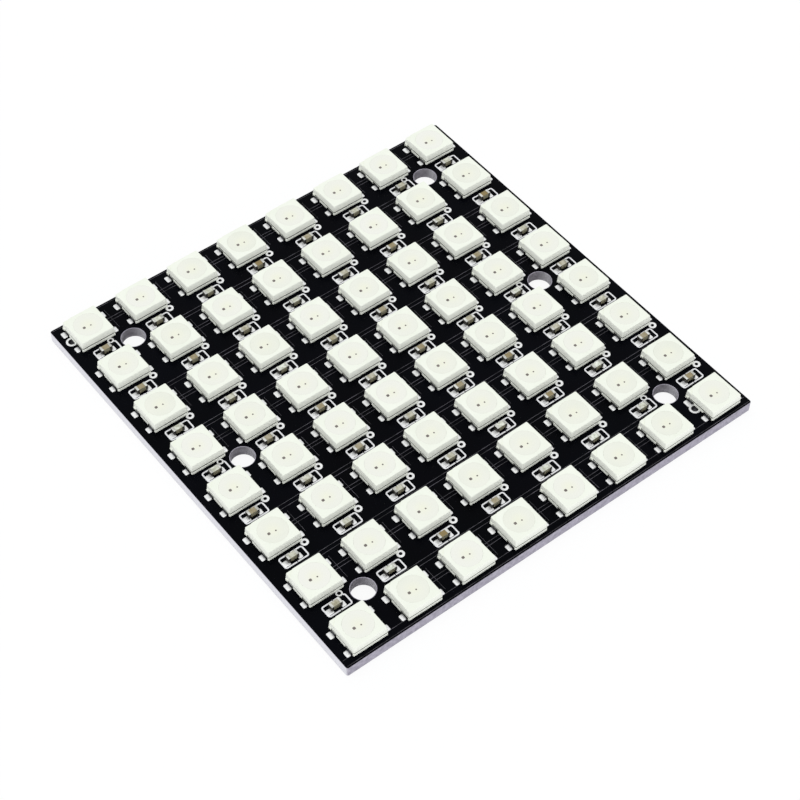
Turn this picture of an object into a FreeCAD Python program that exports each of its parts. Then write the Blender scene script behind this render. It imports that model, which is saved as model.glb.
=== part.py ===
import FreeCAD, Part
import math
import os
import Sketcher

# A square panel of eight by eight addressable colour LEDs on one black circuit board.
# The frame has its origin under the middle of the board, on the face that it lies on.
# +X runs along the columns, +Y along the rows and +Z out of the LED side.

doc = FreeCAD.newDocument("led_matrix_panel")
sizes = doc.addObject("Spreadsheet::Sheet", "Sizes")

sizeValues = {
    "boardLength": 65.0,        # board along X
    "boardWidth": 65.0,         # board along Y
    "boardThickness": 1.6,      # laminate with its printed mask
    "columns": 8,               # LEDs along X
    "rows": 8,                  # LEDs along Y
    "marginLeft": 4.125,        # first column from the edge at -X
    "marginRight": 3.825,       # last column from the edge at +X
    "marginFront": 3.55,        # first row from the edge at -Y
    "marginBack": 3.35,         # last row from the edge at +Y
    "screwHoleDiameter": 3.2,   # clearance for M3
    "screwHoleColumnStep": 6,   # column pitches between the two lines of holes
    "screwHoleRowStep": 3,      # row pitches from hole to hole
    "ledBaseSize": 5.0,         # housing at its underside
    "ledBodySize": 5.0,         # housing at its parting line
    "ledTopSize": 4.85,         # housing at its top face
    "ledHeight": 1.6,           # top face above the board
    "partingHeight": 0.82,      # parting line above the board
    "windowDiameter": 3.9,      # mouth of the cup
    "cupSides": 12,             # flat sides that stand for the round cup
    "cupDepth": 0.9,            # mouth of the cup down to the seat of the chips
    "notchSize": 1.1,           # leg of the corner mark for polarity
    "notchDepth": 0.18,         # corner mark below the top face
    "terminalThickness": 0.15,  # lead foot soldered on its pad
    "terminalWidth": 1.0,       # terminal along Y
    "terminalLength": 1.4,      # terminal along X
    "terminalReach": 3.3,       # outer end of a terminal from the middle of its LED
    "terminalSpacing": 3.2,     # terminal to terminal on one side
    "capacitorLength": 1.6,     # chip capacitor over its end caps
    "capacitorWidth": 0.8,      # chip capacitor across its end caps
    "capacitorHeight": 0.8,     # chip capacitor over its end caps
    "endCapLength": 0.35,       # metal end of the capacitor
    "endCapStep": 0.03,         # end cap proud of the ceramic
    "capacitorDrop": 3.8,       # middle of a capacitor below the middle of its LED
    "wireHoleDiameter": 0.9,    # open bore of a plated wire hole
    "wireHolePlating": 0.05,    # wall of the plated barrel
    "wireHoleShiftX": 2.75,     # wire hole from the middle of its LED, towards -X
    "wireHoleShiftY": 0.1,      # wire hole from the middle of its LED, towards +Y
    "backPadCount": 3,          # solder pads in one connection group
    "backPadWidth": 1.5,        # back pad along X
    "backPadLength": 2.5,       # back pad along Y
    "backPadPitch": 2.54,       # back pad to back pad
    "backPadThickness": 0.05,   # pad let in flush with the back
    "backPadInset": 12.0,       # middle of a pad group from the side of the board
    "backPadEdge": 3.0,         # middle of a pad group from the near edge of the board
}
for line, (name, value) in enumerate(sizeValues.items(), start=1):
    sizes.set(f"A{line}", name)
    sizes.set(f"B{line}", str(value))
    sizes.setAlias(f"B{line}", name)
doc.recompute()

# Places that more than one sub-part uses, as expressions on the sheet
columnSpan = "(Sizes.boardLength - Sizes.marginLeft - Sizes.marginRight)"
rowSpan = "(Sizes.boardWidth - Sizes.marginFront - Sizes.marginBack)"
columnPitch = f"({columnSpan} / (Sizes.columns - 1))"
rowPitch = f"({rowSpan} / (Sizes.rows - 1))"
firstColumnX = "(Sizes.marginLeft - Sizes.boardLength / 2)"
firstRowY = "(Sizes.marginFront - Sizes.boardWidth / 2)"
terminalX = "(Sizes.terminalReach - Sizes.terminalLength / 2)"
groupX = "(Sizes.boardLength / 2 - Sizes.backPadInset)"
groupY = "(Sizes.boardWidth / 2 - Sizes.backPadEdge)"


def addBody(label):
    """One sub-part, whose patterns may leave it as several equal solids."""
    body = doc.addObject("PartDesign::Body", label)
    body.Label = label
    body.AllowCompound = True
    return body


def originFeature(body, role):
    return next(item for item in body.Origin.OriginFeatures if item.Role == role)


def addSketch(body, name, plane="XY_Plane", x="0", y="0", z="0"):
    """An empty sketch on one of the body's own planes, moved by three expressions."""
    sketch = body.newObject("Sketcher::SketchObject", name)
    sketch.AttachmentSupport = [(originFeature(body, plane), "")]
    sketch.MapMode = "FlatFace"
    for axis, place in zip("xyz", (x, y, z)):
        if place != "0":
            sketch.setExpression(f"AttachmentOffset.Base.{axis}", place)
    return sketch


def constrain(sketch, kind, *where):
    return sketch.addConstraint(Sketcher.Constraint(kind, *where))


def drive(sketch, expression, kind, *where):
    """A dimension that follows an expression on the sheet."""
    index = constrain(sketch, kind, *where)
    sketch.setExpression(f"Constraints[{index}]", expression)


def drawPolygon(sketch, points):
    corners = [FreeCAD.Vector(x, y, 0) for x, y in points]
    count = len(corners)
    for index, corner in enumerate(corners):
        sketch.addGeometry(Part.LineSegment(corner, corners[(index + 1) % count]))
    for index in range(count):
        constrain(sketch, "Coincident", index, 2, (index + 1) % count, 1)


def addRectangle(body, name, length, width, x="0", y="0", z="0"):
    """A rectangle centred on (x, y) at height z, with both sides driven."""
    sketch = addSketch(body, name, x=x, y=y, z=z)
    drawPolygon(sketch, [(-1, -1), (1, -1), (1, 1), (-1, 1)])
    for index in (0, 2):
        constrain(sketch, "Horizontal", index)
    for index in (1, 3):
        constrain(sketch, "Vertical", index)
    constrain(sketch, "Symmetric", 0, 1, 1, 2, -1, 1)
    drive(sketch, length, "DistanceX", 0, 1, 0, 2, 2.0)
    drive(sketch, width, "DistanceY", 1, 1, 1, 2, 2.0)
    return sketch


def addCircle(body, name, diameter, x, y):
    sketch = addSketch(body, name, x=x, y=y)
    sketch.addGeometry(Part.Circle(FreeCAD.Vector(), FreeCAD.Vector(0, 0, 1), 1.0))
    constrain(sketch, "Coincident", 0, 3, -1, 1)
    drive(sketch, diameter, "Diameter", 0, 2.0)
    return sketch


def addPad(body, name, sketch, length):
    pad = body.newObject("PartDesign::Pad", name)
    pad.Profile = sketch
    pad.setExpression("Length", length)
    return pad


def addPocket(body, name, sketch, depth, upward=True):
    """A cut from the sketch, up from the back of the board or down from a top face."""
    pocket = body.newObject("PartDesign::Pocket", name)
    pocket.Profile = sketch
    pocket.Reversed = upward
    pocket.setExpression("Length", depth)
    return pocket


def addPattern(body, name, originals, axis, span, count):
    """Equal steps along one axis; with no originals the whole shape so far is repeated."""
    pattern = body.newObject("PartDesign::LinearPattern", name)
    if originals:
        pattern.Originals = originals
    else:
        doc.recompute()
        pattern.TransformMode = "Whole shape"
    pattern.Direction = (originFeature(body, axis), [""])
    pattern.setExpression("Length", span)
    pattern.setExpression("Occurrences", count)
    body.Tip = pattern
    return pattern


def repeatAlongColumns(body):
    addPattern(body, "columns", None, "X_Axis", columnSpan, "Sizes.columns")


def placeOnRow(body, row):
    """Stands a body on the board at the first LED of a row."""
    body.setExpression("Placement.Base.x", firstColumnX)
    body.setExpression("Placement.Base.y", f"{firstRowY} + {row} * {rowPitch}")
    body.setExpression("Placement.Base.z", "Sizes.boardThickness")


def wireHolePlaces():
    """The wire holes lie beside the last LED of the first column and the first LED of the last."""
    shiftX, shiftY = "- Sizes.wireHoleShiftX", "+ Sizes.wireHoleShiftY"
    return [
        ("last_row", f"{firstColumnX} {shiftX}", f"{firstRowY} + {rowSpan} {shiftY}"),
        ("first_row", f"{firstColumnX} + {columnSpan} {shiftX}", f"{firstRowY} {shiftY}"),
    ]


def backPadGroups():
    """Two pad groups, at opposite corners of the back, each as the place of its first pad."""
    halfGroup = "(Sizes.backPadCount - 1) / 2 * Sizes.backPadPitch"
    return [
        ("input", f"-{groupX} - {halfGroup}", groupY),
        ("output", f"{groupX} - {halfGroup}", f"-{groupY}"),
    ]


# Circuit board

def makeCircuitBoard():
    body = addBody("circuit_board")
    outline = addRectangle(body, "outline", "Sizes.boardLength", "Sizes.boardWidth")
    addPad(body, "laminate", outline, "Sizes.boardThickness")

    acrossHoles = f"Sizes.screwHoleColumnStep * {columnPitch}"
    alongHoles = f"2 * Sizes.screwHoleRowStep * {rowPitch}"
    circle = addCircle(body, "screw_hole_outline", "Sizes.screwHoleDiameter",
                       f"{firstColumnX} + {columnPitch} / 2", f"{firstRowY} + {rowPitch} / 2")
    hole = addPocket(body, "screw_hole", circle, "Sizes.boardThickness")
    pattern = addPattern(body, "screw_holes", [hole], "X_Axis", acrossHoles, "2")
    pattern.Direction2 = (originFeature(body, "Y_Axis"), [""])
    pattern.setExpression("Length2", alongHoles)
    pattern.setExpression("Occurrences2", "3")

    for name, x, y in wireHolePlaces():
        drilled = "Sizes.wireHoleDiameter + 2 * Sizes.wireHolePlating"
        drill = addCircle(body, f"wire_hole_outline_{name}", drilled, x, y)
        addPocket(body, f"wire_hole_{name}", drill, "Sizes.boardThickness")

    for name, x, y in backPadGroups():
        seat = addRectangle(
            body, f"pad_seat_outline_{name}", "Sizes.backPadWidth", "Sizes.backPadLength", x, y)
        recess = addPocket(body, f"pad_seat_{name}", seat, "Sizes.backPadThickness")
        addPattern(body, f"pad_seats_{name}", [recess], "X_Axis",
                   "(Sizes.backPadCount - 1) * Sizes.backPadPitch", "Sizes.backPadCount")
    return body


# Solder pads on the back

def makeBackPads(name, x, y):
    body = addBody(f"back_pads_{name}")
    outline = addRectangle(body, "pad_outline", "Sizes.backPadWidth", "Sizes.backPadLength", x, y)
    addPad(body, "pad", outline, "Sizes.backPadThickness")
    addPattern(body, "pads", None, "X_Axis",
               "(Sizes.backPadCount - 1) * Sizes.backPadPitch", "Sizes.backPadCount")
    return body


# Wire eyelets: the plated barrel of each wire hole

def makeWireEyelet(name, x, y):
    body = addBody(f"wire_eyelet_{name}")
    drilled = "Sizes.wireHoleDiameter + 2 * Sizes.wireHolePlating"
    barrel = addCircle(body, "barrel_outline", drilled, x, y)
    addPad(body, "barrel", barrel, "Sizes.boardThickness")
    bore = addCircle(body, "bore_outline", "Sizes.wireHoleDiameter", x, y)
    addPocket(body, "bore", bore, "Sizes.boardThickness")
    return body


# LEDs

def addCupOutline(body):
    """The mouth of the cup at the top face, as a regular polygon on a circle."""
    sketch = addSketch(body, "cup_outline", z="Sizes.ledHeight")
    sides = int(sizes.cupSides)
    turns = [2 * math.pi * side / sides for side in range(sides)]
    drawPolygon(sketch, [(math.cos(turn), math.sin(turn)) for turn in turns])
    around = Part.Circle(FreeCAD.Vector(), FreeCAD.Vector(0, 0, 1), 1.0)
    sketch.addGeometry(around, True)
    constrain(sketch, "Coincident", sides, 3, -1, 1)
    constrain(sketch, "PointOnObject", 0, 1, -1)
    for side in range(sides):
        constrain(sketch, "PointOnObject", side, 1, sides)
    for side in range(1, sides):
        constrain(sketch, "Equal", 0, side)
    drive(sketch, "Sizes.windowDiameter", "Diameter", sides, 2.0)
    return sketch


def addDraftedHalf(body, name, lowSize, highSize, lowHeight, highHeight):
    """A square frustum for one mould half: a wedge whose own Y axis stands upright."""
    half = body.newObject("PartDesign::AdditiveWedge", name)
    half.AttachmentSupport = [(originFeature(body, "XZ_Plane"), "")]
    half.MapMode = "FlatFace"
    half.setExpression("Ymin", lowHeight)
    half.setExpression("Ymax", highHeight)
    for side in "XZ":
        half.setExpression(f"{side}min", f"-{lowSize} / 2")
        half.setExpression(f"{side}max", f"{lowSize} / 2")
        half.setExpression(f"{side}2min", f"-{highSize} / 2")
        half.setExpression(f"{side}2max", f"{highSize} / 2")


def makeLedHousings(row):
    body = addBody(f"led_housings_row_{row + 1}")
    addDraftedHalf(body, "lower_half", "Sizes.ledBaseSize", "Sizes.ledBodySize",
                   "Sizes.terminalThickness", "Sizes.partingHeight")
    addDraftedHalf(body, "upper_half", "Sizes.ledBodySize", "Sizes.ledTopSize",
                   "Sizes.partingHeight", "Sizes.ledHeight")
    addPocket(body, "cup", addCupOutline(body), "Sizes.cupDepth", upward=False)

    corner = addSketch(body, "notch_outline", x="-Sizes.ledBodySize / 2",
                       y="Sizes.ledBodySize / 2", z="Sizes.ledHeight")
    drawPolygon(corner, [(0, 0), (0, -1), (1, 0)])
    constrain(corner, "Coincident", 0, 1, -1, 1)
    constrain(corner, "Vertical", 0)
    constrain(corner, "Horizontal", 2)
    drive(corner, "Sizes.notchSize", "DistanceY", 0, 2, 0, 1, 1.0)
    drive(corner, "Sizes.notchSize", "DistanceX", 0, 1, 1, 2, 1.0)
    addPocket(body, "polarity_notch", corner, "Sizes.notchDepth", upward=False)

    repeatAlongColumns(body)
    placeOnRow(body, row)
    return body


def makeLedWindows(row):
    body = addBody(f"led_windows_row_{row + 1}")
    resin = addPad(body, "resin", addCupOutline(body), "Sizes.cupDepth")
    resin.Reversed = True
    repeatAlongColumns(body)
    placeOnRow(body, row)
    return body


def makeLedTerminals(row):
    body = addBody(f"led_terminals_row_{row + 1}")
    foot = addRectangle(body, "foot_outline", "Sizes.terminalLength", "Sizes.terminalWidth",
                        x=f"-{terminalX}", y="-Sizes.terminalSpacing / 2")
    addPad(body, "foot", foot, "Sizes.terminalThickness")
    addPattern(body, "side_pair", None, "Y_Axis", "Sizes.terminalSpacing", "2")
    addPattern(body, "both_sides", None, "X_Axis", f"2 * {terminalX}", "2")
    repeatAlongColumns(body)
    placeOnRow(body, row)
    return body


# Capacitors, one below each LED of every row but the first

def makeCapacitorBodies(row):
    body = addBody(f"capacitor_bodies_row_{row + 1}")
    outline = addRectangle(
        body, "ceramic_outline", "Sizes.capacitorLength - 2 * Sizes.endCapLength",
        "Sizes.capacitorWidth - 2 * Sizes.endCapStep", y="-Sizes.capacitorDrop",
        z="Sizes.endCapStep")
    addPad(body, "ceramic", outline, "Sizes.capacitorHeight - 2 * Sizes.endCapStep")
    repeatAlongColumns(body)
    placeOnRow(body, row)
    return body


def makeCapacitorEnds(row):
    body = addBody(f"capacitor_ends_row_{row + 1}")
    endX = "(Sizes.capacitorLength - Sizes.endCapLength)"
    outline = addRectangle(body, "end_outline", "Sizes.endCapLength", "Sizes.capacitorWidth",
                           x=f"-{endX} / 2", y="-Sizes.capacitorDrop")
    addPad(body, "end_cap", outline, "Sizes.capacitorHeight")
    addPattern(body, "both_ends", None, "X_Axis", endX, "2")
    repeatAlongColumns(body)
    placeOnRow(body, row)
    return body


rowCount = int(sizes.rows)
subParts = [makeCircuitBoard()]
subParts += [makeBackPads(*group) for group in backPadGroups()]
subParts += [makeWireEyelet(*place) for place in wireHolePlaces()]
for row in range(rowCount):
    subParts += [makeLedHousings(row), makeLedWindows(row), makeLedTerminals(row)]
for row in range(1, rowCount):
    subParts += [makeCapacitorBodies(row), makeCapacitorEnds(row)]
doc.recompute()

for item in doc.Objects:
    if {"Invalid", "Error"} & set(item.State):
        raise RuntimeError(f"{item.Label} did not compute")
for body in subParts:
    if body.Shape.isNull() or not body.Shape.isValid():
        raise RuntimeError(f"{body.Label} has no valid shape")

# Every cut has to take its volume away, and every pattern has to give its count of solids
board = subParts[0].Shape
screwHole = math.pi / 4 * sizes.screwHoleDiameter ** 2 * sizes.boardThickness
slab = sizes.boardLength * sizes.boardWidth * sizes.boardThickness
if board.Volume > slab - 6 * screwHole:
    raise RuntimeError("a hole in the board is missing")
for body in subParts:
    if "_row_" in body.Label and len(body.Shape.Solids) % int(sizes.columns):
        raise RuntimeError(f"{body.Label} lost a copy")

os.makedirs("parts", exist_ok=True)
for body in subParts:
    body.Shape.exportStep(f"parts/{body.Label}.step")
    print(body.Label, len(body.Shape.Solids), round(body.Shape.Volume, 3))
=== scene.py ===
import bmesh
import bpy
import math
from mathutils import Matrix, Vector


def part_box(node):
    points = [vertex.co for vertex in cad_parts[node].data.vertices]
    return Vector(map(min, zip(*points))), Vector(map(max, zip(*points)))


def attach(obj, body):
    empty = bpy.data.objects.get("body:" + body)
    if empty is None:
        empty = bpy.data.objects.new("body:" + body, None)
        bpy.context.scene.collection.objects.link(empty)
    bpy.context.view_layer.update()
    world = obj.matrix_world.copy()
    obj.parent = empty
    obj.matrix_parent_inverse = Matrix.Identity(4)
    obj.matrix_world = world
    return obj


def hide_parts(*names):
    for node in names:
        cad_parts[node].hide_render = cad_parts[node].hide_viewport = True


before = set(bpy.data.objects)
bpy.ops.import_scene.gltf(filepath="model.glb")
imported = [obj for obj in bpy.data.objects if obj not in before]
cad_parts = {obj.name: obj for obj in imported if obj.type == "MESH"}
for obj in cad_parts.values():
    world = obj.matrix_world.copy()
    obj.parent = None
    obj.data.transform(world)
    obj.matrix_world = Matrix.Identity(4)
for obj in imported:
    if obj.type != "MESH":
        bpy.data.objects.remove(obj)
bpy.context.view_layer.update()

mm = 0.001


# Where the frame has the board and the LEDs, in millimetres

def nodesLike(start):
    return [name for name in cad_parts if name.startswith(start)]


def cornersOf(node):  # the lowest corner and the highest
    return [Vector(corner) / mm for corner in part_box(node)]


def middleOf(node):
    return sum((Vector(corner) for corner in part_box(node)), Vector()) / 2 / mm


rowNames = sorted(nodesLike("led_housings_row_"))
boardLow, boardHigh = cornersOf("circuit_board")
frontLow, frontHigh = cornersOf(rowNames[0])
backLow = cornersOf(rowNames[-1])[0]
boardTop = boardHigh.z
columns, rows = 8, len(rowNames)
ledSize = frontHigh.y - frontLow.y
firstLed = Vector((frontLow.x + ledSize / 2, frontLow.y + ledSize / 2, boardTop))
pitchX = (frontHigh.x - frontLow.x - ledSize) / (columns - 1)
pitchY = (backLow.y - frontLow.y) / (rows - 1)
wireHoles = [middleOf(name) for name in nodesLike("wire_eyelet")]

rowDrift = {  # how far each row of the real panel lies off an even spacing, from the front row back
    "even": (0.0,) * rows,
    "leds": (-0.25, -0.03, 0.13, 0.03, -0.18, -0.13, 0.02, 0.09),
    "capacitors": (0.0, -0.30, 0.08, 0.0, -0.24, -0.28, -0.20, -0.12)}


def cellPlace(column, row, shift=(0, 0), drift="leds"):  # on the board, from the middle of an LED
    along = row * pitchY + shift[1] + rowDrift[drift][row]
    return firstLed + Vector((column * pitchX + shift[0], along, 0))


def everyCell(firstRow=0):
    return [(column, row) for row in range(firstRow, rows) for column in range(columns)]


print("frame:", columns, "by", rows, "LEDs, pitch", round(pitchX, 2), "by", round(pitchY, 2), "mm")


# Shader groups that several finishes share

noiseBand = {"From Min": 0.3, "From Max": 0.7}  # nearly all values of a noise lie in it
bumpDepth = 0.02 * mm


# A value is a number, a colour or another node's socket
def addNode(tree, kind, values=None, **settings):
    node = tree.nodes.new(kind)
    for name, setting in settings.items():
        setattr(node, name, setting)
    for key, value in (values or {}).items():
        if isinstance(value, bpy.types.NodeSocket):
            tree.links.new(value, node.inputs[key])
        else:
            node.inputs[key].default_value = value
    return node


def mixColour(tree, share, first, second):
    inputs = {0: share, 6: first, 7: second}
    return addNode(tree, "ShaderNodeMix", inputs, data_type="RGBA").outputs[2]


def newGroup(name, treeKind, inputs, outputs):
    tree = bpy.data.node_groups.new(name, treeKind)
    for label, (kind, value) in inputs.items():
        socket = tree.interface.new_socket(label, in_out="INPUT", socket_type=kind)
        if value is not None:
            socket.default_value = value
    for label, kind in outputs.items():
        tree.interface.new_socket(label, in_out="OUTPUT", socket_type=kind)
    given, result = tree.nodes.new("NodeGroupInput"), tree.nodes.new("NodeGroupOutput")
    return tree, given.outputs, result.inputs


def makeMottleGroup():  # two colours in soft patches, with a fine grain for the bump
    tree, given, result = newGroup(
        "Mottle", "ShaderNodeTree",
        {"Light": ("NodeSocketColor", (1, 1, 1, 1)), "Dark": ("NodeSocketColor", (0, 0, 0, 1)),
         "Patch Scale": ("NodeSocketFloat", 400.0), "Grain Scale": ("NodeSocketFloat", 9000.0),
         "Rough Low": ("NodeSocketFloat", 0.3), "Rough High": ("NodeSocketFloat", 0.5)},
        {"Colour": "NodeSocketColor", "Roughness": "NodeSocketFloat", "Height": "NodeSocketFloat"})
    place = addNode(tree, "ShaderNodeTexCoord").outputs["Object"]
    patch = addNode(tree, "ShaderNodeTexNoise",
                    {"Vector": place, "Scale": given["Patch Scale"], "Detail": 3.0})
    grain = addNode(tree, "ShaderNodeTexNoise",
                    {"Vector": place, "Scale": given["Grain Scale"], "Detail": 2.0})
    share = addNode(tree, "ShaderNodeMapRange", {"Value": patch.outputs["Fac"], **noiseBand})
    rough = addNode(tree, "ShaderNodeMapRange", {
        "Value": grain.outputs["Fac"], **noiseBand,
        "To Min": given["Rough Low"], "To Max": given["Rough High"]})
    colour = mixColour(tree, share.outputs[0], given["Dark"], given["Light"])
    tree.links.new(colour, result["Colour"])
    tree.links.new(rough.outputs[0], result["Roughness"])
    tree.links.new(grain.outputs["Fac"], result["Height"])
    return tree


def makeFacingGroup():  # how squarely a surface faces up or down, and along X: the masks for painting light and shade by facing
    tree, given, result = newGroup(
        "Facing", "ShaderNodeTree", {"Sharpness": ("NodeSocketFloat", 4.0)},
        {"Level": "NodeSocketFloat", "Across": "NodeSocketFloat"})
    place = addNode(tree, "ShaderNodeTexCoord")
    normal = addNode(tree, "ShaderNodeSeparateXYZ", {0: place.outputs["Normal"]})
    for axis, label in (("Z", "Level"), ("X", "Across")):
        size = addNode(tree, "ShaderNodeMath", {0: normal.outputs[axis]}, operation="ABSOLUTE")
        share = addNode(tree, "ShaderNodeMath", {0: size.outputs[0], 1: given["Sharpness"]},
                        operation="POWER")
        tree.links.new(share.outputs[0], result[label])
    return tree


mottleGroup = makeMottleGroup()
facingGroup = makeFacingGroup()


def makeFinish(name, look):
    material = bpy.data.materials.new(name)
    material.use_nodes = True
    tree = material.node_tree
    tree.nodes.clear()
    mottle = addNode(tree, "ShaderNodeGroup", node_tree=mottleGroup)
    for label, value in look["mottle"].items():
        mottle.inputs[label].default_value = value if isinstance(value, float) else (*value, 1)
    colour = mottle.outputs["Colour"]
    for share in ("tone", "centreTintAndGlint"):  # each copy's own share at random, and how near a window's middle is, for a warmer tint that is partly a painted highlight
        if share in look:
            carried = addNode(tree, "ShaderNodeAttribute", attribute_name=share)
            colour = mixColour(tree, carried.outputs["Fac"], colour, (*look[share], 1))
    if "wall" in look or "across" in look:
        facing = addNode(tree, "ShaderNodeGroup", node_tree=facingGroup)
        if "wall" in look:  # upright faces: painted light on the housing, painted shade on the capacitor bodies and ends
            colour = mixColour(tree, facing.outputs["Level"], (*look["wall"], 1), colour)
        if "across" in look:  # faces square to X, painted lighter for the light that falls on them
            colour = mixColour(tree, facing.outputs["Across"], colour, (*look["across"], 1))
    bump = addNode(tree, "ShaderNodeBump", {
        "Height": mottle.outputs["Height"], "Strength": look["bump"], "Distance": bumpDepth})
    shader = addNode(tree, "ShaderNodeBsdfPrincipled", {
        "Base Color": colour, "Roughness": mottle.outputs["Roughness"], "Normal": bump.outputs[0],
        "Metallic": look.get("metallic", 0.0), "Specular IOR Level": look.get("specular", 0.5)})
    addNode(tree, "ShaderNodeOutputMaterial", {"Surface": shader.outputs[0]})
    return material


looks = {
    "mask": {
        "mottle": {"Light": (0.0010, 0.0013, 0.0030), "Dark": (0.0005, 0.0006, 0.0013),
                   "Patch Scale": 90.0, "Rough Low": 0.2, "Rough High": 0.34},
        "bump": 0.08, "specular": 0.03},
    # Faces square to X are painted lighter, for the light that falls on them
    "laminate": {
        "mottle": {"Light": (0.47, 0.44, 0.52), "Dark": (0.31, 0.29, 0.35),
                   "Patch Scale": 2200.0, "Grain Scale": 4000.0,
                   "Rough Low": 0.55, "Rough High": 0.8},
        "bump": 0.3, "across": (0.75, 0.74, 0.78), "specular": 0.3},
    # The hole walls: a darker copy of the laminate, painted shade inside the holes, with faces
    # square to X painted lighter for light
    "bore": {
        "mottle": {"Light": (0.28, 0.265, 0.295), "Dark": (0.14, 0.13, 0.15),
                   "Patch Scale": 1100.0, "Grain Scale": 4000.0,
                   "Rough Low": 0.55, "Rough High": 0.8},
        "bump": 0.3, "across": (0.50, 0.49, 0.52), "specular": 0.3},
    # Upright faces are painted lighter than the top, for the light that falls on them
    "housing": {
        "mottle": {"Light": (0.905, 0.93, 0.83), "Dark": (0.865, 0.895, 0.785),
                   "Patch Scale": 300.0, "Rough Low": 0.38, "Rough High": 0.52},
        "bump": 0.12, "specular": 0.3, "wall": (0.95, 0.965, 0.88)},
    # Near black: painted shade for the parting groove and the lead recesses
    "seam": {
        "mottle": {"Light": (0.05, 0.05, 0.045), "Dark": (0.015, 0.015, 0.013),
                   "Patch Scale": 900.0},
        "bump": 0.1, "specular": 0.1},
    # Towards the middle a warmer tint that is partly a painted highlight
    "resin": {
        "mottle": {"Light": (0.85, 0.86, 0.76), "Dark": (0.81, 0.83, 0.725),
                   "Patch Scale": 380.0, "Rough Low": 0.2, "Rough High": 0.34},
        "bump": 0.06, "specular": 0.3, "tone": (0.87, 0.87, 0.80), "centreTintAndGlint": (0.87, 0.875, 0.72)},
    "die": {
        "mottle": {"Light": (0.22, 0.19, 0.17), "Dark": (0.12, 0.10, 0.09),
                   "Patch Scale": 3000.0},
        "bump": 0.1},
    "solder": {
        "mottle": {"Light": (0.97, 0.97, 0.96), "Dark": (0.80, 0.80, 0.79),
                   "Patch Scale": 1200.0, "Rough Low": 0.3, "Rough High": 0.5},
        "bump": 0.25, "metallic": 0.4},
    # Dark metal: painted shade on the straps at the housing's sides
    "lead": {
        "mottle": {"Light": (0.20, 0.20, 0.21), "Dark": (0.07, 0.07, 0.075),
                   "Patch Scale": 1500.0, "Rough Low": 0.35, "Rough High": 0.55},
        "bump": 0.2, "metallic": 1.0},
    # Dark metal: painted shade inside the via and wire holes
    "barrel": {
        "mottle": {"Light": (0.10, 0.10, 0.11), "Dark": (0.03, 0.03, 0.034),
                   "Patch Scale": 1500.0, "Rough Low": 0.35, "Rough High": 0.55},
        "bump": 0.2, "metallic": 1.0},
    # Upright faces near black: painted shade
    "endCap": {
        "mottle": {"Light": (0.84, 0.84, 0.79), "Dark": (0.36, 0.36, 0.32),
                   "Patch Scale": 1500.0, "Rough Low": 0.35, "Rough High": 0.55},
        "bump": 0.25, "metallic": 0.3, "wall": (0.03, 0.026, 0.02)},
    "print": {
        "mottle": {"Light": (0.93, 0.93, 0.94), "Dark": (0.78, 0.78, 0.80),
                   "Patch Scale": 1800.0, "Rough Low": 0.5, "Rough High": 0.7},
        "bump": 0.2},
    # Pale lines: painted highlights of the tracks' edges
    "trackGlint": {
        "mottle": {"Light": (0.15, 0.14, 0.17), "Dark": (0.0008, 0.0008, 0.001),
                   "Patch Scale": 700.0, "Rough Low": 0.35, "Rough High": 0.5},
        "bump": 0.1},
    # Upright faces darker: painted shade; the tone differs at random from copy to copy
    "ceramic": {
        "mottle": {"Light": (0.93, 0.965, 0.87), "Dark": (0.44, 0.46, 0.36),
                   "Patch Scale": 2400.0, "Rough Low": 0.3, "Rough High": 0.45},
        "bump": 0.2, "tone": (0.23, 0.16, 0.045), "wall": (0.28, 0.26, 0.18)},
}
finishes = {name: makeFinish(name, look) for name, look in looks.items()}
print("finishes:", len(finishes))


# Mesh helpers, all in millimetres until the mesh is made

quarters = ((1, 1), (-1, 1), (-1, -1), (1, -1))  # the corners of a square, in turn


def roundedSquare(halfX, halfY, radius, cornerSteps, sideSteps=1):
    centres = [Vector((signX * (halfX - radius), signY * (halfY - radius)))
               for signX, signY in quarters]
    outline = []
    for corner, centre in enumerate(centres):
        for step in range(cornerSteps + 1):
            angle = (corner + step / cornerSteps) * math.pi / 2
            outline.append(centre + radius * Vector((math.cos(angle), math.sin(angle))))
        start = outline[-1]
        end = centres[(corner + 1) % len(centres)] + (start - centre)
        outline += [start.lerp(end, step / sideSteps) for step in range(1, sideSteps)]
    return outline


def circleLike(outline, radius):  # a circle with a point in the direction of each of the outline's
    return [point.normalized() * radius for point in outline]


def unitCircle(steps):
    turns = [2 * math.pi * step / steps for step in range(steps)]
    return [Vector((math.cos(turn), math.sin(turn))) for turn in turns]


def bothEnds(sign, near, far):  # a stretch on one side of the middle, its lower end first
    return sorted((sign * near, sign * far))


def loft(mesh, rings, caps=(True, True)):  # each ring is a list of 3-D points
    loops = [[mesh.verts.new(point) for point in ring] for ring in rings]
    count = len(loops[0])
    for low, high in zip(loops, loops[1:]):
        for index in range(count):
            after = (index + 1) % count
            mesh.faces.new((low[index], low[after], high[after], high[index]))
    for wanted, loop in zip(caps, (loops[0], loops[-1])):
        if wanted:
            mesh.faces.new(loop)


def ringAt(outline, height, shift=(0, 0)):
    return [Vector((point.x + shift[0], point.y + shift[1], height)) for point in outline]


def addBlock(mesh, low, high, bevel=0.0):  # a box with its edges rounded off
    made = bmesh.ops.create_cube(mesh, size=1.0)["verts"]
    size, middle = Vector(high) - Vector(low), (Vector(high) + Vector(low)) / 2
    for vertex in made:
        vertex.co = Vector(part * whole for part, whole in zip(vertex.co, size)) + middle
    if bevel:
        edges = {edge for vertex in made for edge in vertex.link_edges}
        bmesh.ops.bevel(mesh, geom=list(edges), offset=bevel, segments=2, profile=0.6,
                        affect="EDGES")


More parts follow.
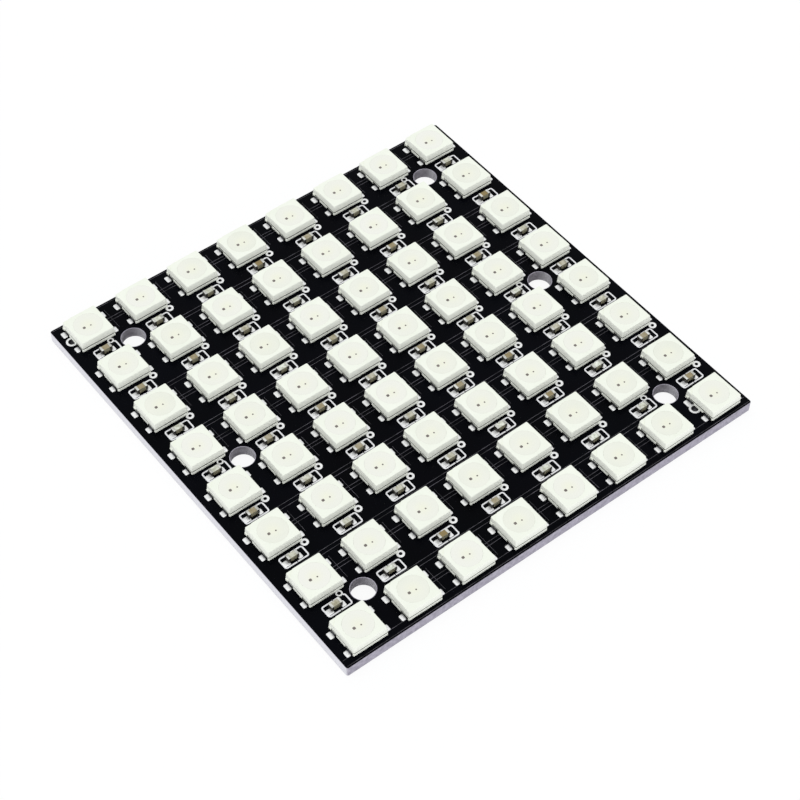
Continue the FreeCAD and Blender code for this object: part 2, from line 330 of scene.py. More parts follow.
def meshObject(name, mesh, sharpAngle=35):  # writes the finished shape in metres
    bmesh.ops.recalc_face_normals(mesh, faces=mesh.faces)
    mesh.transform(Matrix.Scale(mm, 4))
    data = bpy.data.meshes.new(name)
    mesh.to_mesh(data)
    mesh.free()
    data.shade_smooth()
    data.set_sharp_from_angle(angle=math.radians(sharpAngle))
    return bpy.data.objects.new(name, data)


def pointObject(name, places):
    data = bpy.data.meshes.new(name)
    data.from_pydata([place * mm for place in places], [], [])
    return bpy.data.objects.new(name, data)


def show(thing):  # puts it in the scene
    bpy.context.scene.collection.objects.link(thing)
    return thing


def evaluatedMesh(source):
    bpy.context.view_layer.update()
    evaluated = source.evaluated_get(bpy.context.evaluated_depsgraph_get())
    return bpy.data.meshes.new_from_object(evaluated)


# Geometry Nodes that set one shape on many points

def makeSpreadTree():
    tree, given, result = newGroup(
        "Set On Points", "GeometryNodeTree",
        {"Points": ("NodeSocketGeometry", None), "Shape": ("NodeSocketObject", None),
         "Turn": ("NodeSocketFloat", 0.0), "Drift": ("NodeSocketFloat", 0.0),
         "Seed": ("NodeSocketInt", 1), "Finish": ("NodeSocketMaterial", None)},
        {"Geometry": "NodeSocketGeometry"})

    def randomVector(label, axes):  # from minus to plus the input's value, along the given axes
        back = addNode(tree, "ShaderNodeMath", {0: given[label], 1: -1.0}, operation="MULTIPLY")
        most = addNode(tree, "ShaderNodeCombineXYZ", {axis: given[label] for axis in axes})
        least = addNode(tree, "ShaderNodeCombineXYZ", {axis: back.outputs[0] for axis in axes})
        return addNode(tree, "FunctionNodeRandomValue", {
            0: least.outputs[0], 1: most.outputs[0], "Seed": given["Seed"]},
            data_type="FLOAT_VECTOR").outputs[0]

    turned, moved = randomVector("Turn", "Z"), randomVector("Drift", "XY")
    tone = addNode(tree, "FunctionNodeRandomValue", {"Seed": given["Seed"]}, data_type="FLOAT")
    placed = addNode(tree, "GeometryNodeSetPosition",
                     {"Geometry": given["Points"], "Offset": moved})
    shape = addNode(tree, "GeometryNodeObjectInfo", {"Object": given["Shape"]})
    angle = addNode(tree, "FunctionNodeEulerToRotation", {0: turned})
    copies = addNode(tree, "GeometryNodeInstanceOnPoints", {
        "Points": placed.outputs[0], "Instance": shape.outputs["Geometry"],
        "Rotation": angle.outputs[0]})
    toned = addNode(tree, "GeometryNodeStoreNamedAttribute", {
        "Geometry": copies.outputs[0], "Name": "tone", "Value": tone.outputs[1]},
        data_type="FLOAT", domain="INSTANCE")
    real = addNode(tree, "GeometryNodeRealizeInstances", {"Geometry": toned.outputs[0]})
    done = addNode(tree, "GeometryNodeSetMaterial",
                   {"Geometry": real.outputs[0], "Material": given["Finish"]})
    tree.links.new(done.outputs[0], result["Geometry"])
    return tree


spreadTree = makeSpreadTree()


def runTree(name, source, tree, inputs):  # runs a node tree on an object and keeps the plain mesh
    modifier = show(source).modifiers.new("nodes", "NODES")
    modifier.node_group = tree
    identifiers = {item.name: item.identifier for item in tree.interface.items_tree
                   if item.in_out == "INPUT"}
    for label, value in inputs.items():
        modifier[identifiers[label]] = value
    data = evaluatedMesh(source)
    bpy.data.objects.remove(source)
    data.name = name
    return show(bpy.data.objects.new(name, data))


def spread(name, shape, places, finish, turn=0.0, drift=0.0, seed=1):
    return runTree(name, pointObject(name + "Points", places), spreadTree, {
        "Shape": shape, "Turn": turn, "Drift": drift * mm, "Seed": seed,
        "Finish": finishes[finish]})


def finishPiece(piece, slot, *nodes):
    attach(piece, "root")
    if nodes:
        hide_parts(*nodes)
    print(piece.name, "faces:", len(piece.data.polygons))


# Circuit board: a filled outline with its holes, drawn up to the thickness of the laminate

board = {"screwRadius": 1.6, "wireRadius": 0.5, "edgeWear": 0.07, "corner": 0.3, "cornerSteps": 4,
         "edgeBand": 0.2, "holeSides": {"Screw": 48, "Wire": 32, "Via": 12}}
via = {"ringRadius": 0.55, "smallRadius": 0.46, "holeRadius": 0.22, "rise": 0.03,
       "shift": (2.55, -2.86), "shiftByScrew": (1.42, -2.86)}
lastViaRow = 3  # the column on the right has vias only in front of this row

# A screw hole lies up and right of each of these LEDs
screwCells = [(column, row) for column in (0, 6) for row in (0, 3, 6)]
besideScrew = [(column, row + 1) for column, row in screwCells]
viaCells = [cell for cell in everyCell(1)
            if cell not in besideScrew and (cell[0] < columns - 1 or cell[1] < lastViaRow)]
screwPlaces = [cellPlace(*cell, (pitchX / 2, pitchY / 2), "even") for cell in screwCells]
viaPlaces = [cellPlace(*cell, via["shift"]) for cell in viaCells]
smallViaPlaces = [cellPlace(*cell, via["shiftByScrew"]) for cell in besideScrew]


def makeBoardTree():
    inputs = {"Geometry": ("NodeSocketGeometry", None), "Length": ("NodeSocketFloat", 1.0),
              "Width": ("NodeSocketFloat", 1.0), "Thickness": ("NodeSocketFloat", 1.0),
              "Corner": ("NodeSocketFloat", 1.0), "Mask": ("NodeSocketMaterial", None),
              "Edge": ("NodeSocketMaterial", None)}
    for label in board["holeSides"]:
        inputs[label + " Places"] = ("NodeSocketObject", None)
        inputs[label + " Radius"] = ("NodeSocketFloat", 1.0)
    tree, given, result = newGroup("Drilled Board", "GeometryNodeTree", inputs,
                                   {"Geometry": "NodeSocketGeometry"})
    outline = addNode(tree, "GeometryNodeCurvePrimitiveQuadrilateral",
                      {"Width": given["Length"], "Height": given["Width"]})
    rounded = addNode(tree, "GeometryNodeFilletCurve", {
        "Curve": outline.outputs[0], "Radius": given["Corner"], "Count": board["cornerSteps"]},
        mode="POLY")
    curves = addNode(tree, "GeometryNodeJoinGeometry", {"Geometry": rounded.outputs[0]})
    for label, sides in board["holeSides"].items():
        places = addNode(tree, "GeometryNodeObjectInfo", {"Object": given[label + " Places"]})
        circle = addNode(tree, "GeometryNodeCurvePrimitiveCircle",
                         {"Radius": given[label + " Radius"], "Resolution": sides})
        holes = addNode(tree, "GeometryNodeInstanceOnPoints",
                        {"Points": places.outputs["Geometry"], "Instance": circle.outputs[0]})
        tree.links.new(holes.outputs[0], curves.inputs[0])
    flat = addNode(tree, "GeometryNodeRealizeInstances", {"Geometry": curves.outputs[0]})
    sheet = addNode(tree, "GeometryNodeFillCurve", {"Curve": flat.outputs[0]})
    raised = addNode(tree, "GeometryNodeExtrudeMesh", {
        "Mesh": sheet.outputs[0], "Offset Scale": given["Thickness"], "Individual": False},
        mode="FACES")
    under = addNode(tree, "GeometryNodeFlipFaces", {"Mesh": sheet.outputs[0]})
    shell = addNode(tree, "GeometryNodeJoinGeometry", {"Geometry": raised.outputs["Mesh"]})
    tree.links.new(under.outputs[0], shell.inputs[0])
    closed = addNode(tree, "GeometryNodeMergeByDistance",
                     {"Geometry": shell.outputs[0], "Distance": 0.001 * mm})
    masked = addNode(tree, "GeometryNodeSetMaterial",
                     {"Geometry": closed.outputs[0], "Material": given["Mask"]})
    normal = addNode(tree, "GeometryNodeInputNormal")
    upright = addNode(tree, "ShaderNodeSeparateXYZ", {0: normal.outputs[0]})
    level = addNode(tree, "ShaderNodeMath", {0: upright.outputs["Z"]}, operation="ABSOLUTE")
    onWall = addNode(tree, "FunctionNodeCompare", {0: level.outputs[0], 1: 0.5},
                     operation="LESS_THAN")
    edged = addNode(tree, "GeometryNodeSetMaterial", {
        "Geometry": masked.outputs[0], "Selection": onWall.outputs[0], "Material": given["Edge"]})
    tree.links.new(edged.outputs[0], result["Geometry"])
    return tree


def flatten(places):  # the same places on the underside of the board
    return [Vector((place.x, place.y, 0)) for place in places]


def makeBoard():
    boardSize = boardHigh - boardLow
    inputs = {"Length": boardSize.x * mm, "Width": boardSize.y * mm, "Thickness": boardSize.z * mm,
              "Corner": board["corner"] * mm, "Mask": finishes["mask"],
              "Edge": finishes["laminate"]}
    for label, places, radius in (("Screw", screwPlaces, board["screwRadius"]),
                                  ("Wire", wireHoles, board["wireRadius"]),
                                  ("Via", viaPlaces + smallViaPlaces, via["holeRadius"])):
        inputs[label + " Places"] = pointObject(label.lower() + "Points", flatten(places))
        inputs[label + " Radius"] = radius * mm
    piece = runTree("drilledBoard", pointObject("boardStart", []), makeBoardTree(), inputs)
    piece.data.materials.append(finishes["bore"])
    cutEdge = list(piece.data.materials).index(finishes["laminate"])
    bore = len(piece.data.materials) - 1
    reach = (boardSize.x / 2 - board["edgeBand"]) * mm
    for face in piece.data.polygons:  # the walls of the holes get a darker copy of the laminate: painted shade inside the holes
        fromMiddle = max(abs(face.center.x), abs(face.center.y))
        if face.material_index == cutEdge and fromMiddle < reach:
            face.material_index = bore
    bevel = piece.modifiers.new("edge", "BEVEL")
    bevel.width = board["edgeWear"] * mm
    bevel.segments = 1
    bevel.limit_method = "ANGLE"
    bevel.material = cutEdge
    return piece


finishPiece(makeBoard(), "board_mask", "circuit_board")


# LED housings: two drafted halves that meet at a parting line, a round cup and a cut corner

housing = {"underside": 0.04, "footSize": 5.06, "footHeight": 0.26, "footRound": 0.04,
           "footDraft": 0.01, "bodySize": 5.0, "topSize": 4.85, "top": 1.6,
           "grooveLow": 0.43, "grooveHigh": 0.64, "grooveDepth": 0.1, "grooveStep": 0.01,
           "lipHeight": 0.04, "lipDraft": 0.03, "cornerRadius": 0.14, "cornerSteps": 3,
           "sideSteps": 7, "edgeRound": 0.07, "cupRadius": 1.95, "cupFloor": 0.9,
           "cupDraft": 0.12, "rimRound": 0.02, "notchLeg": 1.1, "notchDepth": 0.17,
           "stubLength": 0.1, "stubWidth": 0.45, "stubInset": 0.15, "stubDrop": 0.08,
           "stubRound": 0.02}
roundMiddle = 0.3  # where the middle of a small rounding lies, as a share of its size
knife = {"margin": 0.2, "rise": 0.5}  # how far the notch's knife reaches past the housing
ledSharpAngle = 35


def makeHousing():
    size = housing
    corner, sides = size["cornerSteps"], size["sideSteps"]

    def square(whole, height, inset=0.0):
        half = whole / 2 - inset
        return ringAt(roundedSquare(half, half, size["cornerRadius"], corner, sides), height)

    def circle(radius, height):
        outline = roundedSquare(2, 2, size["cornerRadius"], corner, sides)
        return ringAt(circleLike(outline, radius), height)

    foot, body, whole = size["footSize"], size["bodySize"], size["topSize"]
    under, low, high, top = size["underside"], size["grooveLow"], size["grooveHigh"], size["top"]
    step, groove = size["grooveStep"], size["grooveDepth"]
    rounding, cup, rim = size["edgeRound"], size["cupRadius"], size["rimRound"]
    roundIn, rimIn = rounding * roundMiddle, rim * roundMiddle
    mesh = bmesh.new()
    loft(mesh, [
        square(foot, under, size["footRound"]), square(foot, under + size["footRound"]),
        square(foot, size["footHeight"], size["footDraft"]),
        square(body, low - size["lipHeight"]), square(body, low, size["lipDraft"]),
        square(body, low + step, groove), square(body, high - step, groove), square(body, high),
        square(whole, top - rounding), square(whole, top - roundIn, roundIn),
        square(whole, top, rounding), circle(cup + rim, top), circle(cup + rimIn, top - rimIn),
        circle(cup, top - rim), circle(cup - size["cupDraft"], top - size["cupFloor"])])
    half, width = body / 2, size["stubWidth"]
    for signX, signY in ((-1, 1), (1, -1)):  # tie-bar stubs, cut off at two corners
        along = signY * (half - width / 2 - size["stubInset"])
        across = signX * half
        addBlock(mesh, (across - size["stubLength"], along - width / 2, low - size["stubDrop"]),
                 (across + size["stubLength"], along + width / 2, high), size["stubRound"])
    block = show(meshObject("housing", mesh))

    cutter = bmesh.new()
    edge, leg = half + knife["margin"], size["notchLeg"] + 2 * knife["margin"]
    triangle = [Vector((-edge, edge)), Vector((-edge, edge - leg)), Vector((-edge + leg, edge))]
    loft(cutter, [ringAt(triangle, top - size["notchDepth"]),
                  ringAt(triangle, top + knife["rise"])])
    blade = show(meshObject("notchKnife", cutter))
    cut = block.modifiers.new("notch", "BOOLEAN")
    cut.object, cut.operation, cut.solver = blade, "DIFFERENCE", "EXACT"
    data = evaluatedMesh(block)
    data.set_sharp_from_angle(angle=math.radians(ledSharpAngle))
    bpy.data.objects.remove(blade)
    bpy.data.objects.remove(block)
    return bpy.data.objects.new("housing", data)


seating = {"turn": math.radians(0.7), "drift": 0.04, "seed": 4}  # how far each LED sits off
ledPlaces = [cellPlace(*cell) for cell in everyCell()]
finishPiece(spread("ledHousings", makeHousing(), ledPlaces, "housing", **seating),
            "housing_plastic", *rowNames)


# Painted shade: a near-black sheet in the parting groove, and near-black blocks where the leads
# come out of recesses

seam = {"behind": 0.05, "lip": 0.035, "overLow": 0.02, "underHigh": 0.01}
recessShade = {"inner": 0.88, "outer": 2.3, "low": 0.03, "high": 0.4, "depth": 0.2, "cover": 0.005}


def makePaintedShade():
    size = housing
    mesh = bmesh.new()
    behind, lip = [
        roundedSquare(size["bodySize"] / 2 - inset, size["bodySize"] / 2 - inset,
                      size["cornerRadius"], size["cornerSteps"])
        for inset in (size["grooveDepth"] + seam["behind"], seam["lip"])]
    low, high = size["grooveLow"] + seam["overLow"], size["grooveHigh"] - seam["underHigh"]
    loft(mesh, [ringAt(behind, low), ringAt(lip, low), ringAt(lip, high), ringAt(behind, high)],
         (False, False))
    outside = size["footSize"] / 2 + recessShade["cover"]
    for signX, signY in ((-1, -1), (-1, 1), (1, -1), (1, 1)):
        across = bothEnds(signX, outside - recessShade["depth"], outside)
        along = bothEnds(signY, recessShade["inner"], recessShade["outer"])
        addBlock(mesh, (across[0], along[0], recessShade["low"]),
                 (across[1], along[1], recessShade["high"]))
    return meshObject("seam", mesh)


finishPiece(spread("partingSeams", makePaintedShade(), ledPlaces, "seam", **seating), "housing_plastic")


# Resin in the cups, with the seat of each chip showing through as a dark speck

window = {"radius": 1.945, "seat": 0.72, "seatDraft": 0.1, "rimHeight": 1.59, "rimDrop": 0.01,
          "dip": 0.05, "dipPower": 6, "dipShares": (0.995, 0.96, 0.9, 0.8, 0.6, 0.3, 0.1),
          "steps": 32, "sharpAngle": 60, "centreTintAndGlint": 1.3}
speck = {"spots": [((-0.7, -0.17), 0.19), ((0.25, -0.27), 0.1)],  # the place and half width of each
         "corner": 0.6, "cornerSteps": 3, "sink": 0.02, "rise": 0.006}


def makeWindow():
    size = window
    circle = unitCircle(size["steps"])
    mesh = bmesh.new()
    rings = [(size["radius"] - size["seatDraft"], size["seat"]),
             (size["radius"], size["rimHeight"] - size["rimDrop"])]
    rings += [(size["radius"] * share,
               size["rimHeight"] - size["dip"] * (1 - share ** size["dipPower"]))
              for share in size["dipShares"]]
    loft(mesh, [ringAt([point * radius for point in circle], height) for radius, height in rings])
    shape = meshObject("window", mesh, size["sharpAngle"])
    # the middle's share, for a warmer tint that is partly a painted highlight
    centreTintAndGlint = shape.data.attributes.new("centreTintAndGlint", "FLOAT", "POINT")
    for vertex, share in zip(shape.data.vertices, centreTintAndGlint.data):
        share.value = max(0.0, 1 - vertex.co.xy.length / mm / size["centreTintAndGlint"])
    return shape


def makeSpecks():
    surface = window["rimHeight"] - window["dip"]
    mesh = bmesh.new()
    for place, half in speck["spots"]:
        outline = roundedSquare(half, half, half * speck["corner"], speck["cornerSteps"])
        loft(mesh, [ringAt(outline, surface - speck["sink"], place),
                    ringAt(outline, surface + speck["rise"], place)])
    return meshObject("specks", mesh)


finishPiece(spread("ledWindows", makeWindow(), ledPlaces, "resin", **seating), "window_resin",
            *nodesLike("led_windows_row_"))
finishPiece(spread("ledChips", makeSpecks(), ledPlaces, "die", **seating), "window_resin")


# Lead feet in solder, and the straps that bring them down the sides of the housing, in dark metal
# that is painted shade

lead = {"spacing": 3.2, "back": (3.26, 1.0), "front": (3.2, 0.88),  # the reach and width of a foot
        "inner": 2.62, "shift": -0.08, "corner": 0.14, "cornerShrink": 0.7, "cornerSteps": 3,
        "rise": 0.14, "dome": ((0.0, 0.0), (0.0, 0.5), (0.05, 0.85), (0.15, 1.0))}
strap = {"width": 0.8, "inner": 2.3, "onFoot": 0.2, "rise": 0.1, "proud": 0.06, "depth": 0.3,
         "low": 0.02, "high": 0.36, "round": 0.02}


def makeFeet():
    size = lead
    mesh = bmesh.new()
    for signX in (-1, 1):
        for signY, (reach, width) in ((1, size["back"]), (-1, size["front"])):
            half = (reach - size["inner"]) / 2
            middle = (signX * (reach - half), signY * size["spacing"] / 2 + size["shift"])
            rings = []
            for inset, share in size["dome"]:
                corner = size["corner"] - inset * size["cornerShrink"]
                outline = roundedSquare(half - inset, width / 2 - inset, corner,
                                        size["cornerSteps"])
                rings.append(ringAt(outline, size["rise"] * share, middle))
            loft(mesh, rings)
    return meshObject("feet", mesh)


def makeStraps():
    size = strap
    outside = housing["bodySize"] / 2 + size["proud"]
    mesh = bmesh.new()
    for signX in (-1, 1):
        for signY in (1, -1):
            along = signY * lead["spacing"] / 2
            start, end = along - size["width"] / 2, along + size["width"] / 2
            flat = bothEnds(signX, size["inner"], lead["inner"] + size["onFoot"])
            addBlock(mesh, (flat[0], start, 0.0), (flat[1], end, size["rise"]), size["round"])
            upright = bothEnds(signX, outside - size["depth"], outside)
            addBlock(mesh, (upright[0], start, size["low"]), (upright[1], end, size["high"]),
                     size["round"])
    return meshObject("straps", mesh)


finishPiece(spread("ledPads", makeFeet(), ledPlaces, "solder"), "solder",
            *nodesLike("led_terminals_row_"))
# the straps' dark metal is painted shade
finishPiece(spread("ledStraps", makeStraps(), ledPlaces, "lead"), "solder")


# Chip capacitors with their solder pads

capacitor = {"length": 1.6, "width": 0.8, "height": 0.8, "end": 0.35, "step": 0.03, "drop": 3.8,
             "round": 0.05, "tuck": 0.05}
capacitorPad = {"left": (-1.5, -0.6), "right": (0.6, 1.2), "width": 0.82, "along": -0.26,
                "rise": 0.07, "corner": 0.12, "slope": 0.1, "cornerSteps": 2}


def makeCeramic():
    size = capacitor
    mesh = bmesh.new()
    halfX, halfY = size["length"] / 2 - size["end"], size["width"] / 2 - size["step"]
    addBlock(mesh, (-halfX - size["tuck"], -halfY, size["step"]),
             (halfX + size["tuck"], halfY, size["height"] - size["step"]), size["round"] / 2)
    return meshObject("ceramic", mesh)


def makeEnds():
    size = capacitor
    mesh = bmesh.new()
    outer, halfY = size["length"] / 2, size["width"] / 2
    inner = outer - size["end"]
    for low, high in ((-outer, -inner), (inner, outer)):
        addBlock(mesh, (low, -halfY, 0), (high, halfY, size["height"]), size["round"])
    return meshObject("ends", mesh)


def makeCapacitorPads():
    size = capacitorPad
    mesh = bmesh.new()
    halfY = size["width"] / 2
    for low, high in (size["left"], size["right"]):
        halfX, middle = (high - low) / 2, ((low + high) / 2, size["along"])
        outer = roundedSquare(halfX, halfY, size["corner"], size["cornerSteps"])
        inner = roundedSquare(halfX - size["slope"], halfY - size["slope"], size["slope"],
                              size["cornerSteps"])
        loft(mesh, [ringAt(outer, 0, middle), ringAt(outer, size["rise"] * 0.5, middle),
                    ringAt(inner, size["rise"], middle)])
    return meshObject("capacitorPads", mesh)


capacitorPlaces = [cellPlace(*cell, (0, -capacitor["drop"]), "capacitors")
                   for cell in everyCell(1)]
for name, shape, finish, slot, replaced in (
        ("capacitorBodies", makeCeramic(), "ceramic", "capacitor_ceramic",
         nodesLike("capacitor_bodies_row_")),
        ("capacitorEnds", makeEnds(), "endCap", "capacitor_tin",
         nodesLike("capacitor_ends_row_")),
        ("capacitorPads", makeCapacitorPads(), "solder", "solder", [])):
    finishPiece(spread(name, shape, capacitorPlaces, finish, seed=9), slot, *replaced)


# Printed lines: a bracket pair round each capacitor

printed = {"line": 0.2, "rise": 0.015, "boxX": (-1.6, 2.0), "boxY": (-4.73, -2.92),
           "boxCorner": 0.25, "cornerSteps": 4, "gap": 0.12, "gapAt": 0.2, "underRing": 0.05}


def addRibbon(mesh, path, width, height):  # a flat line with square ends along a path in the plane
    left, right = [], []
    for index, point in enumerate(path):
        before = path[max(index - 1, 0)]
        after = path[min(index + 1, len(path) - 1)]
        along = (after - before).normalized()
        side = Vector((-along.y, along.x)) * width / 2
        left.append(point + side)
        right.append(point - side)
    loft(mesh, [[Vector((*a, 0)), Vector((*a, height)), Vector((*b, height)), Vector((*b, 0))]
                for a, b in zip(left, right)])


def makeCapacitorPrint(besideVia):  # the line stops on both sides of a small via
    size = printed
    mesh = bmesh.new()
    (lowX, highX), (lowY, highY) = size["boxX"], size["boxY"]
    middle = Vector(((lowX + highX) / 2, (lowY + highY) / 2))
    inset = size["line"] / 2
    outline = [point + middle for point in
               roundedSquare((highX - lowX) / 2 - inset, (highY - lowY) / 2 - inset,
                             size["boxCorner"], size["cornerSteps"])]
    for side in (-1, 1):
        bracket = [point for point in outline if (point.x - middle.x) * side > 0]
        bracket.sort(key=lambda point: math.atan2(point.y - middle.y,
                                                  side * (point.x - middle.x)))
        edge = size["gapAt"] + side * size["gap"] / 2
        first, last = Vector((edge, bracket[0].y)), Vector((edge, bracket[-1].y))
        paths = [[first, *bracket, last]]
        if besideVia and side > 0:
            reach = via["shiftByScrew"][0] - via["smallRadius"] + size["underRing"]
            paths = [[Vector((reach, last.y)), last], [first, *bracket]]
        for path in paths:
            addRibbon(mesh, path, size["line"], size["rise"])
    return meshObject("capacitorPrint", mesh)


plainCells = [cell for cell in everyCell(1) if cell not in besideScrew]
for name, cells in (("capacitorPrint", plainCells), ("brokenPrint", besideScrew)):
    printPlaces = [cellPlace(*cell, drift="capacitors") for cell in cells]
    shape = makeCapacitorPrint(cells is besideScrew)
    finishPiece(spread(name, shape, printPlaces, "print"), "housing_plastic")


# Tracks under the mask, drawn only as thin pale lines: a painted highlight for the light their
# edges catch where they lift the mask

trackGlint = {"line": 0.045, "rise": 0.02, "powerAt": (2.80, 3.38), "powerOverlap": 0.1,
         "dataAt": (0.05, 0.55), "dataX": (2.2, 5.55), "upAt": 3.62, "upY": (-1.6, 2.2),
         "upLine": 0.03, "edgeInset": 0.27, "frontAt": -2.12}


def addTrack(mesh, start, end, along):  # a straight pale line of painted track highlight, in the direction of X
    addRibbon(mesh, [Vector((start, along)), Vector((end, along))], trackGlint["line"], trackGlint["rise"])


def makePowerStretch():  # from the middle of one LED to the next in its row
    mesh = bmesh.new()
    for along in trackGlint["powerAt"]:
        addTrack(mesh, -trackGlint["powerOverlap"], pitchX + trackGlint["powerOverlap"], along)
    return meshObject("powerStretch", mesh)


def makeDataStretch():
    mesh = bmesh.new()
    for along in trackGlint["dataAt"]:
        addTrack(mesh, *trackGlint["dataX"], along)
    crossing = [Vector((trackGlint["upAt"], along)) for along in trackGlint["upY"]]
    addRibbon(mesh, crossing, trackGlint["upLine"], trackGlint["rise"])
    return meshObject("dataStretch", mesh)


# The rims of the copper near the front and back edges, and a line along the front row, as pale
# lines of painted highlight
def makeEdgeTracks():
    mesh = bmesh.new()
    inset = Vector((1, 1, 0)) * trackGlint["edgeInset"]
    low, high = boardLow + inset, boardHigh - inset
    for along in (low.y, high.y, cellPlace(0, 0).y + trackGlint["frontAt"]):
        addTrack(mesh, low.x, high.x, along)
    return meshObject("edgeTrackShape", mesh)


trackCells = [cell for cell in everyCell() if cell[0] < columns - 1 and cell not in screwCells]
powerPlaces = [cellPlace(*cell) for cell in trackCells if cell[1] < rows - 1]
dataPlaces = [cellPlace(*cell) for cell in trackCells]
for name, shape, places in (("powerTracks", makePowerStretch(), powerPlaces),
                            ("dataTracks", makeDataStretch(), dataPlaces),
                            ("edgeTracks", makeEdgeTracks(), [Vector((0, 0, boardTop))])):
    finishPiece(spread(name, shape, places, "trackGlint"), "board_mask")


# Rings round the vias and the wire holes on both faces, and the barrels inside the vias, in dark
# metal that is painted shade for the inside of the holes

wireRing = {"outer": 0.77, "inner": 0.47, "rise": 0.04, "steps": 32}
viaBarrel = {"wall": 0.03, "inBoard": 0.01, "low": 0.01, "steps": 12}
smallRingClearance = 0.03  # the gap between a small via's hole and its ring
backCopper = {"proud": 0.008, "sink": 0.01}  # how far copper stands out of the back and goes in


def makeRing(name, outer, inner, low, high, slope=0.04, steps=16):
    circle = unitCircle(steps)
    mesh = bmesh.new()
    profile = [(inner, low), (outer, low), (outer - slope, high), (inner + slope, high)]
    rings = [[mesh.verts.new((point.x * radius, point.y * radius, height)) for point in circle]
             for radius, height in profile]
    for lower, upper in zip(rings, rings[1:] + rings[:1]):
        for index in range(steps):
            after = (index + 1) % steps
            mesh.faces.new((lower[index], lower[after], upper[after], upper[index]))
    return meshObject(name, mesh)


viaSize = (via["ringRadius"], via["holeRadius"])
wireSize = (wireRing["outer"], wireRing["inner"])
backHeights = (backCopper["sink"], -backCopper["proud"])
wirePlaces = [Vector((place.x, place.y, boardTop)) for place in wireHoles]
allViasBelow = flatten(viaPlaces + smallViaPlaces)
barrelShape = makeRing("barrel", via["holeRadius"] + viaBarrel["inBoard"],
                       via["holeRadius"] - viaBarrel["wall"], viaBarrel["low"],
                       boardTop + via["rise"] * 0.5, 0.0, viaBarrel["steps"])
smallRingShape = makeRing("smallRing", via["smallRadius"],
                          via["holeRadius"] + smallRingClearance, 0.0, via["rise"])
viaRingShape = makeRing("viaRing", *viaSize, 0.0, via["rise"])
backViaShape = makeRing("backViaRing", *viaSize, *backHeights)
wireRingShape = makeRing("wireRing", *wireSize, 0.0, wireRing["rise"], steps=wireRing["steps"])
backWireShape = makeRing("backWireRing", *wireSize, *backHeights, steps=wireRing["steps"])
for name, shape, places, finish in (
        ("viaRings", viaRingShape, viaPlaces, "solder"),
        ("smallViaRings", smallRingShape, smallViaPlaces, "solder"),
        ("viaBarrels", barrelShape, allViasBelow, "barrel"),
        ("backViaRings", backViaShape, allViasBelow, "solder"),
        ("wireRings", wireRingShape, wirePlaces, "solder"),
        ("backWireRings", backWireShape, flatten(wirePlaces), "solder")):
    finishPiece(spread(name, shape, places, finish), "solder")
# the wire eyelets take the same dark metal, painted shade inside the holes
for name in nodesLike("wire_eyelet"):
    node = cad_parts[name]
    node.data.materials.clear()
    node.data.materials.append(finishes["barrel"])


# Bare rims of the screw holes, where the mask stops short

screwRim = {"width": 0.08, "sink": 0.06, "rise": 0.006, "slope": 0.01}
rimShape = makeRing("screwRim", board["screwRadius"] + screwRim["width"], board["screwRadius"],
                    -screwRim["sink"], screwRim["rise"], screwRim["slope"],
                    board["holeSides"]["Screw"])
finishPiece(spread("screwRims", rimShape, screwPlaces, "laminate"), "board_mask")


# Solder pads for wires on the back

backPad = {"count": 3, "width": 1.5, "length": 2.5, "pitch": 2.54, "corner": 0.15,
           "cornerSteps": 3, "slope": 0.03, "sink": 0.03}


def makeBackPad():
    size = backPad
    mesh = bmesh.new()
    inner, outer = [roundedSquare(size["width"] / 2 - inset, size["length"] / 2 - inset,
                                  size["corner"], size["cornerSteps"])
                    for inset in (size["slope"], 0.0)]
    loft(mesh, [ringAt(inner, -backCopper["proud"]), ringAt(outer, 0.0),
                ringAt(outer, size["sink"])])
    return meshObject("backPad", mesh)


def backPadPlaces():
    places = []
    for name in nodesLike("back_pads"):
        middle = middleOf(name)
        for index in range(backPad["count"]):
            along = (index - (backPad["count"] - 1) / 2) * backPad["pitch"]
            places.append(Vector((middle.x + along, middle.y, 0)))
    return places


finishPiece(spread("backPads", makeBackPad(), backPadPlaces(), "solder"), "solder",
            *nodesLike("back_pads"))
print("pieces done")


# Floor, light and camera

studio = {"floorHalf": 2.0, "floorDrop": 0.05, "shadowShare": 0.12,
          "worldColour": (0.97, 0.985, 1.0), "worldStrength": 0.94,
          "keySize": 0.7, "keyPower": 1.2, "keyAt": (-0.1, -0.1, 0.95)}
cameraView = {"lens": 88.77, "target": (-3.07, -4.72, 1.6), "distance": 252.84, "heading": 38.53,
              "elevation": 51.07, "roll": 0.71, "clip": (0.01, 20)}


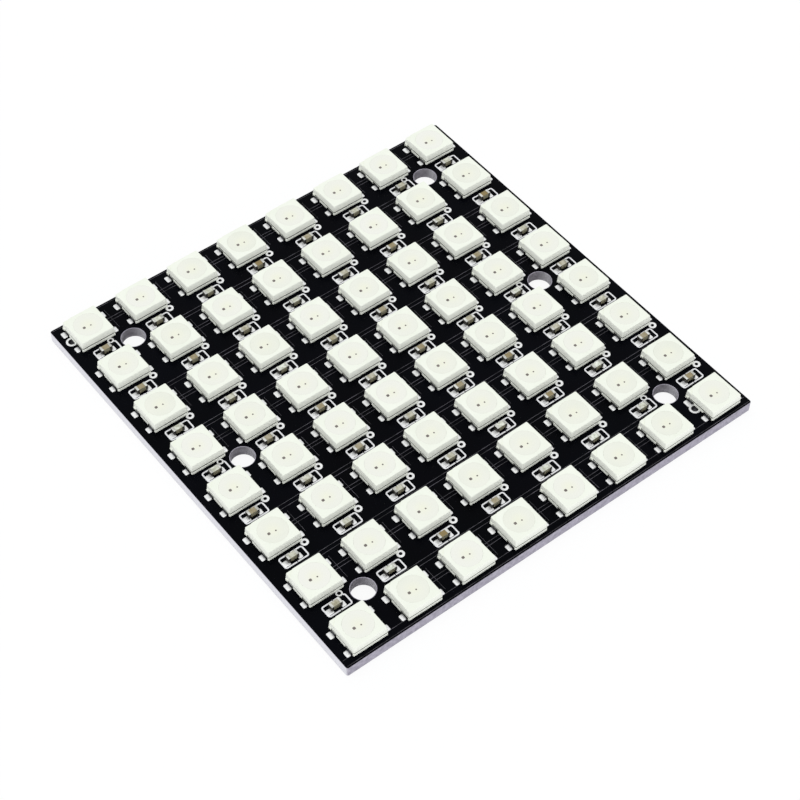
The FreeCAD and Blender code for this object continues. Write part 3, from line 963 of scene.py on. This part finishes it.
def makeFloorPaper():  # white where it is seen, and paper for the shadow
    material = bpy.data.materials.new("floorPaper")
    material.use_nodes = True
    tree = material.node_tree
    tree.nodes.clear()
    rays = addNode(tree, "ShaderNodeLightPath").outputs
    seen = rays["Is Camera Ray"]
    for other in ("Is Glossy Ray", "Is Transmission Ray"):
        seen = addNode(tree, "ShaderNodeMath", {0: seen, 1: rays[other]},
                       operation="MAXIMUM").outputs[0]
    share = addNode(tree, "ShaderNodeMath", {0: seen, 1: 1 - studio["shadowShare"]},
                    operation="MULTIPLY")
    paper = addNode(tree, "ShaderNodeBsdfDiffuse", {"Color": (1, 1, 1, 1)})
    glow = addNode(tree, "ShaderNodeEmission", {"Color": (1, 1, 1, 1), "Strength": 1.0})
    mixed = addNode(tree, "ShaderNodeMixShader",
                    {0: share.outputs[0], 1: paper.outputs[0], 2: glow.outputs[0]})
    addNode(tree, "ShaderNodeOutputMaterial", {"Surface": mixed.outputs[0]})
    return material


def makeFloor():
    mesh = bmesh.new()
    half = studio["floorHalf"] / mm
    corners = [mesh.verts.new((x * half, y * half, -studio["floorDrop"]))
               for x, y in ((-1, -1), (1, -1), (1, 1), (-1, 1))]
    mesh.faces.new(corners)
    floor = show(meshObject("floor", mesh))
    floor.data.materials.append(makeFloorPaper())


def makeWorld():
    world = bpy.data.worlds.new("studio")
    world.use_nodes = True
    background = world.node_tree.nodes["Background"]
    background.inputs["Color"].default_value = (*studio["worldColour"], 1)
    background.inputs["Strength"].default_value = studio["worldStrength"]
    bpy.context.scene.world = world


def makeKeyLight():
    lamp = bpy.data.lights.new("key", "AREA")
    lamp.size, lamp.energy = studio["keySize"], studio["keyPower"]
    light = show(bpy.data.objects.new("key", lamp))
    light.location = studio["keyAt"]
    light.rotation_euler = (-Vector(studio["keyAt"])).to_track_quat("-Z", "Y").to_euler()


def makeCamera():
    view = cameraView
    heading, elevation, roll = (math.radians(view[key])
                                for key in ("heading", "elevation", "roll"))
    forward = Vector((math.sin(heading) * math.cos(elevation),
                      math.cos(heading) * math.cos(elevation), -math.sin(elevation)))
    level = forward.cross(Vector((0, 0, 1))).normalized()
    above = level.cross(forward)
    right = level * math.cos(roll) + above * math.sin(roll)
    up = right.cross(forward)
    place = Vector(view["target"]) * mm - forward * view["distance"] * mm
    axes = Matrix((right, up, -forward)).transposed().to_4x4()
    camera = show(bpy.data.objects.new("camera", bpy.data.cameras.new("camera")))
    camera.matrix_world = Matrix.Translation(place) @ axes
    camera.data.lens = view["lens"]
    camera.data.clip_start, camera.data.clip_end = view["clip"]
    bpy.context.scene.camera = camera


makeFloor()
makeWorld()
makeKeyLight()
makeCamera()
bpy.context.scene.view_settings.view_transform = "Standard"
print("stage set")
